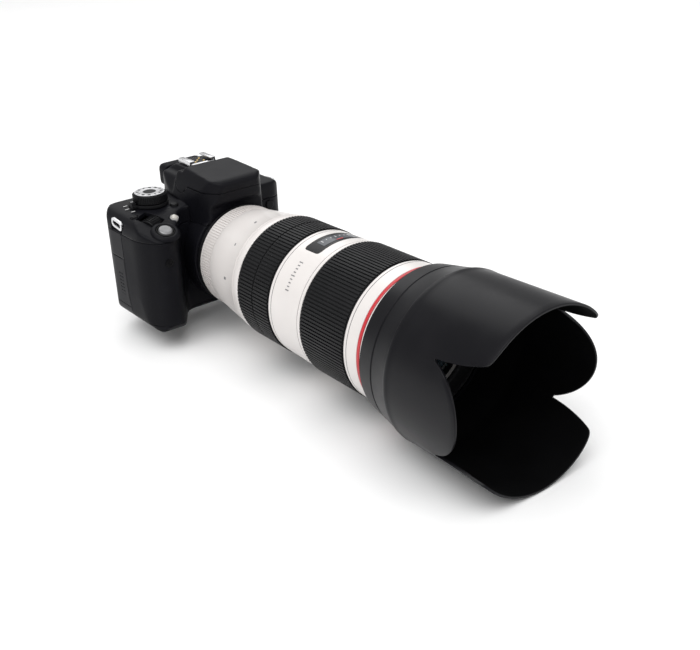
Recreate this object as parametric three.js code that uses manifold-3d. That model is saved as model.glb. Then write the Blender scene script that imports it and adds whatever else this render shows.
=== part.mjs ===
// A single-lens reflex camera with a long zoom lens and a petal hood, in millimetres, +Z up.
// The lens looks along -Y. x = 0 is the lens axis, y = 0 the focal plane, z = 0 the base.
import * as THREE from 'three';
import { mergeVertices } from 'three/addons/utils/BufferGeometryUtils.js';
import Module from 'manifold-3d';

const wasm = await Module();
wasm.setup();

// ---------------------------------------------------------------- driving dimensions
const axisHeight = 40;       // lens axis above the base
const gap = 0.3;             // clearance between pieces that touch
const wall = 2.6;            // casing wall
const skin = 1.3;            // rubber and door panels set into the casing
const deckTop = 78.6;        // top of the shoulders
const rearFace = 22;
const gripFront = -51;
const seamHeight = 66;       // joint between the top cover and the lower covers
const seamDepth = 8.2;       // joint between the front and the rear cover
const plateTop = 2.5;        // top of the bottom plate
const platformTilt = THREE.MathUtils.degToRad(21);
const collarRadius = 36.3;
const collarFront = -41.5;
const throatRadius = 33.3;   // round opening in the front for the lens mount
const flange = 44;           // flange to focal plane
const flashPivot = { y: -11.5, z: 92, radius: 8 };
const flashFloor = 89;
const shoeSeat = 96.5;
const screen = { left: -23.2, right: 49.2, bottom: 5.3, top: 62.2, front: 14.6, back: 22.3 };
const ringSides = 36;
const buttonSides = 12;
const knobSides = 24;
const formSegments = 5;      // steps in each rounded corner of the body's outlines

// ---------------------------------------------------------------- materials
function paint(color, roughness, metalness = 0) {
  return new THREE.MeshStandardMaterial({ color, roughness, metalness });
}
const materials = {
  casing: paint(0x1b1b1d, 0.5),
  rubber: paint(0x161617, 0.85),
  hood: paint(0x141415, 0.6),
  whitePaint: paint(0xe6e2de, 0.4),
  redPaint: paint(0xb01818, 0.4),
  steel: paint(0xb9bbbd, 0.3, 0.9),
  blackMetal: paint(0x202022, 0.45, 0.5),
  glass: paint(0x2b3138, 0.05),
  mirror: paint(0xd8dadc, 0.03, 1),
  board: paint(0x1f4a35, 0.6),
  lamp: paint(0xc9cacb, 0.25),
};

// ---------------------------------------------------------------- solids
function solidOf(geometry) {
  const bare = new THREE.BufferGeometry();
  bare.setAttribute('position', geometry.getAttribute('position').clone());
  bare.setIndex(geometry.index);
  const welded = mergeVertices(bare, 1e-4);
  const points = new Float32Array(welded.getAttribute('position').array);
  const corners = [];
  let volume = 0;
  const a = new THREE.Vector3();
  const b = new THREE.Vector3();
  const c = new THREE.Vector3();
  for (let i = 0; i < welded.index.count; i += 3) {
    const [p, q, r] = [0, 1, 2].map((k) => welded.index.getX(i + k));
    if (p === q || q === r || r === p) continue;
    corners.push(p, q, r);
    a.fromArray(points, 3 * p);
    b.fromArray(points, 3 * q);
    c.fromArray(points, 3 * r);
    volume += a.dot(b.cross(c));
  }
  if (volume < 0) corners.reverse();
  const mesh = new wasm.Mesh({
    numProp: 3,
    vertProperties: points,
    triVerts: new Uint32Array(corners),
  });
  return new wasm.Manifold(mesh);
}

function geometryOf(solid) {
  const mesh = solid.getMesh();
  const geometry = new THREE.BufferGeometry();
  geometry.setAttribute('position', new THREE.BufferAttribute(mesh.vertProperties, 3));
  geometry.setIndex(new THREE.BufferAttribute(mesh.triVerts, 1));
  geometry.computeVertexNormals();
  return geometry;
}

function join(...solids) {
  return solids.reduce((whole, piece) => whole.add(piece));
}

function cut(solid, ...tools) {
  return tools.reduce((whole, tool) => whole.subtract(tool), solid);
}

function box([x0, y0, z0], [x1, y1, z1]) {
  const geometry = new THREE.BoxGeometry(x1 - x0, y1 - y0, z1 - z0);
  geometry.translate((x0 + x1) / 2, (y0 + y1) / 2, (z0 + z1) / 2);
  return solidOf(geometry);
}

// An outline from corners [a, b, radius], moved inwards by inset.
function outline(corners, inset = 0) {
  const flat = corners.map(([a, b]) => new THREE.Vector2(a, b));
  const turn = THREE.ShapeUtils.isClockWise(flat) ? -1 : 1;
  const count = corners.length;
  const moved = flat.map((point, i) => {
    const before = point.clone().sub(flat[(i + count - 1) % count]).normalize();
    const after = flat[(i + 1) % count].clone().sub(point).normalize();
    const inward = new THREE.Vector2(-before.y - after.y, before.x + after.x).multiplyScalar(turn);
    const reach = inset / (1 + before.dot(after));
    return point.clone().addScaledVector(inward, reach);
  });
  const shape = new THREE.Shape();
  moved.forEach((point, i) => {
    const previous = moved[(i + count - 1) % count];
    const next = moved[(i + 1) % count];
    const room = 0.45 * Math.min(point.distanceTo(previous), point.distanceTo(next));
    const radius = Math.min(corners[i][2] ?? 0, room);
    const start = point.clone().add(previous.clone().sub(point).setLength(radius));
    const end = point.clone().add(next.clone().sub(point).setLength(radius));
    if (i === 0) shape.moveTo(start.x, start.y);
    else shape.lineTo(start.x, start.y);
    if (radius > 0) shape.quadraticCurveTo(point.x, point.y, end.x, end.y);
  });
  shape.closePath();
  return shape;
}

// A flat shape pushed along an axis: x takes (y, z), y takes (x, z) and z takes (x, y).
function slab(shape, axis, from, to, curveSegments = 3) {
  const geometry = new THREE.ExtrudeGeometry(shape, {
    depth: to - from,
    bevelEnabled: false,
    curveSegments,
  });
  geometry.translate(0, 0, from);
  const basis = new THREE.Matrix4();
  const [ex, ey, ez] = [[1, 0, 0], [0, 1, 0], [0, 0, 1]].map((v) => new THREE.Vector3(...v));
  if (axis === 'x') geometry.applyMatrix4(basis.makeBasis(ey, ez, ex));
  if (axis === 'y') geometry.applyMatrix4(basis.makeBasis(ex, ez, ey));
  return solidOf(geometry);
}

// A round bar around the local Z axis, from height low to height high.
function bar(radius, low, high, sides = buttonSides, topRadius = radius) {
  const geometry = new THREE.CylinderGeometry(topRadius, radius, high - low, sides);
  geometry.rotateX(Math.PI / 2);
  geometry.translate(0, 0, (low + high) / 2);
  return solidOf(geometry);
}

// A round bar along world Y around the lens axis; distances count forwards from the focal plane.
function lensBar(radius, near, far) {
  const geometry = new THREE.CylinderGeometry(radius, radius, far - near, ringSides);
  geometry.translate(0, -(near + far) / 2, axisHeight);
  return solidOf(geometry);
}

// A turned piece around the lens axis from [radius, distance] stations, in the lens group's frame.
function turned(stations, sides = ringSides) {
  const closed = stations[0][0] > 0 ? [...stations, stations[0]] : stations;
  const profile = closed.map(([radius, distance]) => new THREE.Vector2(radius, -distance));
  return solidOf(new THREE.LatheGeometry(profile, sides));
}

// ---------------------------------------------------------------- scene graph
const group = new THREE.Group();
const lens = new THREE.Group();
lens.position.set(0, 0, axisHeight);
group.add(lens);

function place(name, solid, material, parent = group) {
  const mesh = new THREE.Mesh(geometryOf(solid), material);
  mesh.name = name;
  parent.add(mesh);
  return mesh;
}

// ---------------------------------------------------------------- outer form of the body
const planCorners = [
  [50, rearFace, 7], [57, 12, 6], [57, -10, 8], [49, -22, 8], [-36, -24, 6], [-45, -38, 6],
  [-54, gripFront, 7], [-66, gripFront, 10], [-75, -35, 12], [-75, 10, 9], [-63, rearFace, 9],
];
const frontCorners = [
  [-69, 0, 4], [-74, 6, 5], [-76, 42, 20], [-75.3, 67, 8], [-72, 76, 6], [-62, deckTop, 8],
  [50, deckTop, 6], [57, 69, 8], [58, 40, 20], [56, 4, 3], [51, 0, 2],
];
const sideCorners = [
  [rearFace, 0, 2], [-45, 0, 4], [gripFront, 5, 5], [gripFront, seamHeight - 0.5, 3],
  [-48.5, 68, 3], [-20, deckTop, 8], [18, deckTop, 3], [rearFace, 74, 4],
];

function bodyForm(inset = 0) {
  const plan = slab(outline(planCorners, inset), 'z', -1, deckTop + 1, formSegments);
  const front = slab(outline(frontCorners, inset), 'y', -60, 40, formSegments);
  const side = slab(outline(sideCorners, inset), 'x', -90, 90, formSegments);
  return plan.intersect(front).intersect(side);
}

// The raised middle: viewfinder housing at the back and the flash nose at the front.
const humpPlan = [
  [15, -51, 3], [24, -40, 8], [27.5, -20, 12], [26, 6, 10], [20, rearFace + 1, 5],
  [-20, rearFace + 1, 5], [-26, 6, 10], [-27.5, -20, 12], [-24, -40, 8], [-15, -51, 3],
];
const humpFront = [
  [-31, 66], [-27, 80, 5], [-23, 93, 6], [-18, 100.5, 4],
  [18, 100.5, 4], [23, 93, 6], [27, 80, 5], [31, 66],
];
const humpSide = [
  [rearFace, 66], [rearFace + 1, 84, 3], [20, 94, 3], [14, shoeSeat, 2], [-8, shoeSeat],
  [-8, 100], [-46, 97.5, 4], [-51, 95, 2], [-47, 81, 2], [-43.5, 78, 2], [-43.5, 66],
];

// Behind the flash head the hump is lower and narrower on both sides of the hot shoe.
const humpRear = [
  [-31, 66], [-27, 80, 4], [-21.5, 91.3, 3], [-14.6, 93, 2], [-12.8, 101],
  [12.8, 101], [14.6, 93, 2], [21.5, 91.3, 3], [27, 80, 4], [31, 66],
];
const humpStep = -1.6;

function humpForm() {
  const plan = slab(outline(humpPlan), 'z', 60, 110, formSegments);
  const ahead = slab(outline(humpFront), 'y', -60, humpStep, formSegments);
  const behind = slab(outline(humpRear), 'y', humpStep, 40, formSegments);
  const side = slab(outline(humpSide), 'x', -40, 40, formSegments);
  return plan.intersect(join(ahead, behind)).intersect(side);
}

function humpHollow() {
  const plan = slab(outline(humpPlan, wall), 'z', 60, 110);
  const front = slab(outline(humpRear, wall), 'y', -60, 40);
  const side = slab(outline(humpSide, wall), 'x', -40, 40);
  return plan.intersect(front).intersect(side);
}

const throat = lensBar(throatRadius, 18, 60);
const collar = lensBar(collarRadius, 20, -collarFront);
const outer = join(bodyForm(), humpForm(), collar);
const inner = join(bodyForm(wall), humpHollow());
const screenRecess = box(
  [screen.left - 0.8, screen.front - 0.6, screen.bottom - 0.8],
  [screen.right + 3.1, 40, screen.top + 0.8],
);
const recessBacking = box(
  [screen.left - 0.8 - wall, screen.front - 0.6 - wall, screen.bottom - 0.8 - wall],
  [screen.right + 3.1 + wall, 40, screen.top + 0.8 + wall],
);
const shell = cut(join(outer.subtract(inner), outer.intersect(recessBacking)), screenRecess, throat);

// ---------------------------------------------------------------- controls on the casing
// Each control sits in a frame whose Z axis points out of the casing.
const facings = {
  top: 0,
  platform: platformTilt,
  front: Math.PI / 2,
  rear: -Math.PI / 2,
};

function frameAt([x, y, z], facing) {
  const matrix = new THREE.Matrix4().makeRotationX(facings[facing]);
  return matrix.setPosition(x, y, z);
}

function moved(geometry, matrix) {
  return solidOf(geometry.clone().applyMatrix4(matrix));
}

const buttons = [
  { name: 'shutter_button', at: [-56.5, -42.3, 70.3], facing: 'platform', radius: 4.8, proud: 3 },
  { name: 'iso_button', at: [-66, -18.3, 77.3], facing: 'top', radius: 2.5, proud: 0.9 },
  { name: 'display_button', at: [-34.5, -17.5, deckTop], facing: 'top', radius: 2.8, proud: 0.9 },
  { name: 'flash_button', at: [41, -22.3, 61], facing: 'front', radius: 3.2, proud: 0.9 },
  { name: 'lens_release_button', at: [43, -22.2, 38], facing: 'front', radius: 5.6, proud: 3 },
  { name: 'menu_button', at: [45, rearFace, 69.6], facing: 'rear', radius: 2.6, proud: 0.8 },
  { name: 'info_button', at: [36, rearFace, 69.6], facing: 'rear', radius: 2.6, proud: 0.8 },
  { name: 'live_view_button', at: [-30, rearFace, 70], facing: 'rear', radius: 3, proud: 0.8 },
  { name: 'playback_button', at: [-34, rearFace, 13], facing: 'rear', radius: 2.8, proud: 0.8 },
  { name: 'set_button', at: [-43, rearFace, 35], facing: 'rear', radius: 3.8, proud: 1 },
];
const buttonRoot = 5.5;      // how far a button reaches behind the casing's surface
const buttonFit = 0.35;

function buttonHole({ at, facing, radius }) {
  const hole = new THREE.CylinderGeometry(radius + buttonFit, radius + buttonFit, 10, buttonSides);
  return moved(hole.rotateX(Math.PI / 2), frameAt(at, facing));
}

function addButton({ name, at, facing, radius, proud }) {
  const rim = Math.min(0.8, proud / 2);
  const profile = [
    [0, -buttonRoot], [radius, -buttonRoot], [radius, proud - rim], [radius - rim, proud], [0, proud],
  ].map(([r, h]) => new THREE.Vector2(r, h));
  const turnedButton = new THREE.LatheGeometry(profile, buttonSides).rotateX(Math.PI / 2);
  const metal = name === 'shutter_button' ? materials.blackMetal : materials.casing;
  const mesh = place(name, solidOf(turnedButton), metal);
  mesh.position.set(...at);
  mesh.rotation.x = facings[facing];
}

const lamp = { at: [-42.8, -31.3, 74.3], facing: 'platform', radius: 3 };
const crossKeys = { x: -43, z: 35, inner: 4.6, outer: 11 };
const modeDial = { x: -46, y: -5.5, radius: 12, stem: 4, low: 81.4, high: 88 };
const lever = { inner: 4.6, outer: 12.4, low: deckTop + gap, high: 81, reach: 15.6 };
const wheel = { at: [-58.5, -26.5, 69.9], radius: 7.2, width: 11, turn: THREE.MathUtils.degToRad(28) };

function wheelSlot() {
  const slot = new THREE.BoxGeometry(wheel.width + 0.8, 2 * wheel.radius + 0.8, 40);
  const matrix = new THREE.Matrix4().makeRotationZ(wheel.turn).setPosition(...wheel.at);
  return moved(slot, matrix);
}

function shutterCollar() {
  const ring = new THREE.CylinderGeometry(8.8, 9.6, 3, knobSides).rotateX(Math.PI / 2);
  return moved(ring, frameAt(buttons[0].at, 'platform'));
}

// ---------------------------------------------------------------- skins and doors in the casing
const cardDoorZone = { x: [-90, -66], y: [-11.5, 7.4], z: [11, 47] };
const terminalZone = { x: [50, 90], y: [-11.5, 7.4], z: [15, 60] };
const gripZone = { x: [-90, -46.5], y: [-60, -13], z: [6, seamHeight - gap / 2] };
const batteryDoorZone = { x: [-67, -49.5], y: [-39.5, -6.5], z: [-5, 9] };

function zoneBox(zone, grow = 0) {
  const low = [zone.x[0] - grow, zone.y[0] - grow, zone.z[0] - grow];
  const high = [zone.x[1] + grow, zone.y[1] + grow, zone.z[1] + grow];
  return box(low, high);
}

function panel(zone) {
  return outer.intersect(zoneBox(zone)).subtract(bodyForm(skin));
}

function panelSeat(zone) {
  return zoneBox(zone, gap).subtract(bodyForm(skin + gap));
}

// ---------------------------------------------------------------- covers
const lugs = {
  strap_lug_grip_side: { x: -73.7, y: -7, z: 71.4, lean: 0.12 },
  strap_lug_far_side: { x: 55.9, y: -1, z: 70.8, lean: -0.12 },
};
const lug = { length: 14, height: 6.6, thick: 1.6 };

function lugRecesses() {
  return Object.values(lugs).map(({ x, y, z }) => {
    const floor = x - Math.sign(x) * (lug.thick / 2 + gap);
    const [low, high] = x < 0 ? [-90, floor] : [floor, 90];
    return box([low, y - lug.length / 2 - 1, z - 4.9], [high, y + lug.length / 2 + 1, z + 4.9]);
  });
}

function flashPocket() {
  const { y, z, radius } = flashPivot;
  const round = new THREE.CylinderGeometry(radius + gap, radius + gap, 80, knobSides);
  round.rotateZ(Math.PI / 2).translate(0, y, z);
  const front = box([-40, -60, flashFloor - gap], [40, y, 110]);
  return join(solidOf(round), front, box([-40, y - 1, shoeSeat], [40, 0, 110]));
}

function topCover() {
  const above = box([-90, -70, seamHeight + gap / 2], [90, 50, 120]);
  const flashDeck = outer.intersect(box([-40, -60, flashFloor - gap - 2], [40, 8, flashFloor - gap]));
  const eyepiece = box([-13, 12, 80], [13, 30, 90]);
  const dialHole = bar(modeDial.stem + gap, 60, 90).translate([modeDial.x, modeDial.y, 0]);
  const diopterHole = box([16.5, 13.8, 84.4], [30, 20.2, 89.6]);
  const body = join(shell, flashDeck, shutterCollar()).intersect(above);
  return cut(
    body, flashPocket(), eyepiece, dialHole, wheelSlot(), diopterHole, ...lugRecesses(),
    ...[...buttons, lamp].map(buttonHole),
  );
}

function frontCover() {
  const region = box([-90, -70, plateTop + gap], [90, seamDepth - gap / 2, seamHeight - gap / 2]);
  const tools = [cardDoorZone, terminalZone, gripZone].map(panelSeat);
  return cut(shell.intersect(region), ...tools, ...buttons.map(buttonHole));
}

function rearCover() {
  const region = box([-90, seamDepth + gap / 2, plateTop + gap], [90, 60, seamHeight - gap / 2]);
  const keyRadius = crossKeys.outer + buttonFit;
  const keyHole = new THREE.CylinderGeometry(keyRadius, keyRadius, 12, knobSides);
  keyHole.translate(crossKeys.x, rearFace, crossKeys.z);
  return cut(shell.intersect(region), solidOf(keyHole), ...buttons.map(buttonHole));
}

const socket = { y: -12, radius: 6.4, bore: 3.2, height: 8 };

function bottomPlate() {
  const whole = bodyForm().intersect(box([-90, -70, -5], [90, 50, plateTop]));
  const hole = bar(socket.radius + gap, -5, 5).translate([0, socket.y, 0]);
  return cut(whole, zoneBox(batteryDoorZone, gap), hole);
}

function flashHead() {
  const { y, z, radius } = flashPivot;
  const round = new THREE.CylinderGeometry(radius, radius, 80, knobSides);
  round.rotateZ(Math.PI / 2).translate(0, y, z);
  const zone = join(solidOf(round), box([-40, -60, flashFloor], [40, y, 110]));
  return humpForm().intersect(zone);
}

place('front_cover', frontCover(), materials.casing);
place('rear_cover', rearCover(), materials.casing);
place('top_cover', topCover(), materials.casing);
place('bottom_plate', bottomPlate(), materials.casing);
place('grip_rubber', panel(gripZone), materials.rubber);
place('card_door', panel(cardDoorZone), materials.casing);
place('terminal_cover', panel(terminalZone), materials.rubber);
place('flash_head', flashHead(), materials.casing);
place('battery_door', bodyForm().intersect(zoneBox(batteryDoorZone)).intersect(
  box([-90, -70, -5], [90, 50, plateTop]),
), materials.casing);

buttons.forEach(addButton);

// ---------------------------------------------------------------- dials and levers
function addCrossKeys() {
  const ring = cut(bar(crossKeys.outer, -4.5, 0.8, knobSides), bar(crossKeys.inner, -9, 9));
  const mesh = place('cross_keys', ring, materials.casing);
  mesh.position.set(crossKeys.x, rearFace, crossKeys.z);
  mesh.rotation.x = facings.rear;
}

function addModeDial() {
  const { radius, stem, low, high } = modeDial;
  const knob = bar(radius, low, high - 0.8, knobSides);
  const cap = bar(radius - 0.2, high - 0.9, high, knobSides, radius - 1.4);
  const mesh = place('mode_dial', join(knob, cap, bar(stem, 72, low + 1)), materials.blackMetal);
  mesh.position.set(modeDial.x, modeDial.y, 0);
}

function addPowerLever() {
  const { inner, outer: rim, low, high, reach } = lever;
  const tab = box([-reach, -3, low], [-rim + 2, 3, high]);
  const knob = box([-reach, -2.6, high - 0.5], [-rim - 0.3, 2.6, high + 2.6]);
  const ring = cut(join(bar(rim, low, high, knobSides), tab, knob), bar(inner, 60, 90));
  const mesh = place('power_lever', ring, materials.blackMetal);
  mesh.position.set(modeDial.x, modeDial.y, 0);
}

function addMainDial() {
  const mesh = place('main_dial', bar(wheel.radius, -wheel.width / 2, wheel.width / 2, knobSides),
    materials.blackMetal);
  mesh.position.set(...wheel.at);
  mesh.rotation.order = 'ZYX';
  mesh.rotation.set(0, Math.PI / 2, wheel.turn);
}

function addDiopterDial() {
  const mesh = place('diopter_dial', bar(2.1, -2.2, 2.2), materials.blackMetal);
  mesh.position.set(20.6, 17, 87);
}

// The screen panel lies in the rear recess and swings out on the block at its far-side edge.
function addScreen() {
  const { left, right, bottom, top, front, back } = screen;
  const corners = [[left, bottom, 3], [right, bottom, 3], [right, top, 3], [left, top, 3]];
  place('screen_panel', slab(outline(corners), 'y', front, back), materials.casing);
  const middle = (bottom + top) / 2;
  const block = box([right + gap, front + 0.2, middle - 11], [right + 2.7, back - 0.7, middle + 11]);
  place('screen_hinge', block, materials.blackMetal);
}

addScreen();
addCrossKeys();
addModeDial();
addPowerLever();
addMainDial();
addDiopterDial();

// ---------------------------------------------------------------- fittings
function addHotShoe() {
  const base = shoeSeat + gap;
  const corners = [
    [-10.6, base], [10.6, base], [10.6, base + 3.4], [6.4, base + 3.4], [6.4, base + 2.5],
    [9.3, base + 2.5], [9.3, base + 0.9], [-9.3, base + 0.9], [-9.3, base + 2.5],
    [-6.4, base + 2.5], [-6.4, base + 3.4], [-10.6, base + 3.4],
  ];
  place('hot_shoe', slab(outline(corners), 'y', -2.6, 13.4), materials.steel);
}

function addStrapLug(name) {
  const { x, y, z, lean } = lugs[name];
  const [a, b] = [lug.length / 2, lug.height / 2];
  const corners = [[-a, -b, 2.8], [a, -b, 2.8], [a, b, 2.8], [-a, b, 2.8]];
  const plate = slab(outline(corners), 'x', -lug.thick / 2, lug.thick / 2);
  const slot = slab(outline(corners, 1.8), 'x', -2, 2);
  const mesh = place(name, plate.subtract(slot), materials.steel);
  mesh.position.set(x, y, z);
  mesh.rotation.x = lean;
}

function addEyepiece() {
  const cupCorners = [[-17, -8, 4], [17, -8, 4], [17, 8, 4], [-17, 8, 4]];
  const holeCorners = [[-11.5, -5, 2], [11.5, -5, 2], [11.5, 5, 2], [-11.5, 5, 2]];
  const cup = slab(outline(cupCorners), 'y', 0, 9);
  const mesh = place('eyecup', cup.subtract(slab(outline(holeCorners), 'y', -1, 10)), materials.rubber);
  mesh.position.set(0, rearFace + 1 + gap, 85);
  place('eyepiece_lens', box([-12.6, 16, 80.4], [12.6, 19.5, 89.6]), materials.glass);
}

function addTripodSocket() {
  const bush = cut(bar(socket.radius, gap, socket.height), bar(socket.bore, -1, 6.5));
  place('tripod_socket', bush, materials.steel).position.set(0, socket.y, 0);
}

function addLamp() {
  const profile = [[0, -2], [lamp.radius, -2], [lamp.radius, 1], [2.2, 2.2], [0, 2.8]];
  const points = profile.map(([r, h]) => new THREE.Vector2(r, h));
  const dome = solidOf(new THREE.LatheGeometry(points, buttonSides).rotateX(Math.PI / 2));
  const mesh = place('red_eye_lamp', dome, materials.lamp);
  mesh.position.set(...lamp.at);
  mesh.rotation.x = facings[lamp.facing];
}

addHotShoe();
Object.keys(lugs).forEach(addStrapLug);
addEyepiece();
addTripodSocket();
addLamp();

// ---------------------------------------------------------------- inside the body
function addMirrorBox() {
  const frame = cut(
    box([-20, -38.4, 21], [20, -7, 61]),
    box([-18.3, -50, 23], [18.3, 0, 59.3]),
    box([-14.5, -35, 50], [14.5, -11, 70]),
  );
  place('mirror_box', frame, materials.casing);
}

function addReflexMirror() {
  const plate = new THREE.BoxGeometry(28, 29, 1.6).translate(0, -15.2, 0);
  const mesh = place('reflex_mirror', solidOf(plate), materials.mirror);
  mesh.position.set(0, -8.6, 57.2);
  mesh.rotation.x = Math.PI / 4;
}

function addPentamirror() {
  const profile = [[-34, 64], [-34, 72], [-20, 83], [-2, 83], [10, 79], [10, 70], [-8, 64]];
  place('pentamirror', slab(outline(profile), 'x', -16.5, 16.5), materials.mirror);
}

function addInnerBlocks() {
  place('focusing_screen', box([-15.5, -36, 61.4], [15.5, -10, 63.4]), materials.glass);
  place('shutter_unit', box([-27, -6.6, 14], [27, -3, 60.5]), materials.blackMetal);
  place('image_sensor', box([-19, 0, 24], [19, 3.4, 56]), materials.glass);
  place('main_board', box([-44, 5.2, 8], [44, 6.8, 61]), materials.board);
  place('battery', box([-65.6, -39, 3.6], [-51.2, -7, 53]), materials.casing);
}

addMirrorBox();
addReflexMirror();
addPentamirror();
addInnerBlocks();
place('body_mount_ring', turned([[25, 39], [33, 39], [33, flange], [25, flange]]), materials.steel, lens);

// ---------------------------------------------------------------- lens
const tube = { inner: 32.6, outer: 35.4, near: 62, far: 222 };
const zoomRing = { near: 103.5, far: 138.5 };
const focusRing = { near: 173.1, far: 215.5 };
const bore = tube.outer + 0.4;   // inner radius of everything that surrounds the tube

place('lens_mount', turned([
  [21.6, 40], [24.4, 40], [24.4, flange + gap], [33, flange + gap], [33, 47], [21.6, 47],
]), materials.steel, lens);
place('rear_element', turned([[0, 41.5], [21.2, 42], [21.2, 46.5], [0, 45]], knobSides),
  materials.glass, lens);
place('inner_tube', turned([
  [tube.inner, tube.near], [tube.outer, tube.near], [tube.outer, tube.far], [tube.inner, tube.far],
]), materials.blackMetal, lens);
place('rear_barrel', turned([
  [33.3, 44.7], [36.3, 44.7], [36.6, 49], [36.3, 60], [35.6, 60.6], [35.6, 65.6], [37.4, 66.4],
  [41.4, 96], [42, 97], [42, zoomRing.near - gap], [bore, zoomRing.near - gap],
  [bore, tube.near - gap], [24, tube.near - gap], [24, 47.3], [33.3, 47.3],
]), materials.whitePaint, lens);
place('zoom_ring', turned([
  [bore, zoomRing.near], [42, zoomRing.near], [42.5, zoomRing.near + 0.8],
  [42.7, zoomRing.far - 0.8], [42.2, zoomRing.far], [bore, zoomRing.far],
]), materials.rubber, lens);
place('focus_ring', turned([
  [bore, focusRing.near], [43.4, focusRing.near], [43.9, focusRing.near + 0.8],
  [44.1, focusRing.far - 0.8], [43.6, focusRing.far], [bore, focusRing.far],
]), materials.rubber, lens);
place('front_barrel', turned([
  [bore, focusRing.far + gap], [43.7, focusRing.far + gap], [43.8, 227.6], [42.6, 227.6],
  [42.6, 230.6], [43.9, 230.6], [43.9, 233.6], [43, 234], [43, 242.6], [41, 242.6],
  [39, 234.5], [37, 234.5], [37, tube.far + gap], [bore, tube.far + gap],
]), materials.whitePaint, lens);
place('red_ring', turned([[42.9, 228], [44.1, 228], [44.1, 230.2], [42.9, 230.2]]),
  materials.redPaint, lens);
place('front_element', turned([[0, 226], [36.6, 228], [36.6, 232], [0, 236.5]], knobSides),
  materials.glass, lens);
place('stabilizer_unit', turned([[0, 66], [32.2, 66], [32.2, 84], [0, 84]], knobSides),
  materials.blackMetal, lens);
place('zoom_group', turned([[0, 92], [32.2, 94], [32.2, 110], [0, 112]], knobSides), materials.glass, lens);
place('focus_group', turned([[0, 176], [32.2, 178], [32.2, 192], [0, 194]], knobSides),
  materials.glass, lens);

// The scale barrel carries the distance window on top and the switches on the far side.
const scaleWindow = { near: 147.5, far: 162, halfWidth: 18.5, seat: 36.8 };
const switchPanel = { near: 144, far: 169, halfHeight: 12, seat: 40.5, face: 45.5 };

function scaleBarrel() {
  const ring = turned([
    [bore, zoomRing.far + gap], [42.1, zoomRing.far + gap], [43.2, focusRing.near - gap],
    [bore, focusRing.near - gap],
  ]);
  const windowSeat = box(
    [-scaleWindow.halfWidth - gap, -scaleWindow.far - gap, scaleWindow.seat - gap],
    [scaleWindow.halfWidth + gap, -scaleWindow.near + gap, 60],
  );
  const panelRecess = box(
    [switchPanel.seat - gap, -switchPanel.far - gap, -switchPanel.halfHeight - gap],
    [60, -switchPanel.near + gap, switchPanel.halfHeight + gap],
  );
  return cut(ring, windowSeat, panelRecess);
}

function windowPane() {
  const block = box(
    [-scaleWindow.halfWidth, -scaleWindow.far, scaleWindow.seat],
    [scaleWindow.halfWidth, -scaleWindow.near, 60],
  );
  return block.intersect(turned([[0, 140], [42.7, 140], [42.7, 172], [0, 172]]));
}

function switchPlate() {
  const block = box(
    [switchPanel.seat, -switchPanel.far, -switchPanel.halfHeight],
    [switchPanel.face, -switchPanel.near, switchPanel.halfHeight],
  );
  const slots = [-6, 6].map((z) => box([switchPanel.face - 1.6, -160, z - 1.9], [60, -152, z + 1.9]));
  return cut(block, ...slots);
}

function addSwitch(name, z) {
  const knob = box([-1.2, -2.2, -1.5], [1.6, 2.2, 1.5]);
  const mesh = place(name, knob, materials.casing, lens);
  mesh.position.set(switchPanel.face, -154.5, z);
}

place('scale_barrel', scaleBarrel(), materials.whitePaint, lens);
place('distance_window', windowPane(), materials.glass, lens);
place('switch_panel', switchPlate(), materials.casing, lens);
addSwitch('focus_mode_switch', 6);
addSwitch('stabilizer_switch', -6);

// ---------------------------------------------------------------- petal hood
const hood = { near: 234.4, front: 330, notch: 295, notchAngle: 30, sidePeak: 318, petalCorner: 326 };

function hoodBlank() {
  return turned([
    [43.4, hood.near], [47.5, hood.near], [49.6, 246.4], [49.4, 247.4], [49.9, 248.4], [52.6, 261.6],
    [53.1, 263.2], [53.05, 265], [54.2, hood.front], [52.4, hood.front], [51.2, 264],
    [47.4, 248], [45.6, 243.6], [43.4, 243.2],
  ], 54);
}

// Everything in front of a short side petal, seen from the side as (y, z).
function sideCutter() {
  const reach = 54 * Math.sin(THREE.MathUtils.degToRad(hood.notchAngle));
  const shape = new THREE.Shape();
  shape.moveTo(-hood.notch, reach);
  shape.bezierCurveTo(-hood.notch - 12, reach * 0.8, -hood.sidePeak, reach * 0.5, -hood.sidePeak, 0);
  shape.bezierCurveTo(-hood.sidePeak, -reach * 0.5, -hood.notch - 12, -reach * 0.8, -hood.notch, -reach);
  shape.lineTo(-hood.front - 20, -reach);
  shape.lineTo(-hood.front - 20, reach);
  return slab(shape, 'x', -80, 80, 10);
}

// Everything beside a long petal, seen from above as (x, y), kept above or below the notches.
function flankCutter(side, low, high) {
  const notchReach = 54 * Math.cos(THREE.MathUtils.degToRad(hood.notchAngle));
  const shape = new THREE.Shape();
  shape.moveTo(side * (notchReach + 0.5), -hood.notch);
  shape.quadraticCurveTo(side * (notchReach - 1.5), -hood.notch - 14, side * 42, -hood.petalCorner + 4);
  shape.quadraticCurveTo(side * 40, -hood.front, side * 33, -hood.front - 0.5);
  shape.lineTo(side * 33, -hood.front - 20);
  shape.lineTo(side * 80, -hood.front - 20);
  shape.lineTo(side * 80, -hood.notch);
  return slab(shape, 'z', low, high, 6);
}

function petalHood() {
  const reach = 54 * Math.sin(THREE.MathUtils.degToRad(hood.notchAngle));
  const flanks = [-1, 1].flatMap((side) => [
    flankCutter(side, reach - 0.01, 80),
    flankCutter(side, -80, -reach + 0.01),
  ]);
  return cut(hoodBlank(), sideCutter(), ...flanks);
}

place('hood', petalHood(), materials.hood, lens);

export default group;
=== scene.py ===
"""The finished look of a reflex camera with a long zoom lens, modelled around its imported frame."""
import math

import bmesh
import bpy
from bpy.props import FloatProperty, FloatVectorProperty, IntProperty, PointerProperty
from mathutils import Matrix, Vector
from mathutils.geometry import interpolate_bezier


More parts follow.
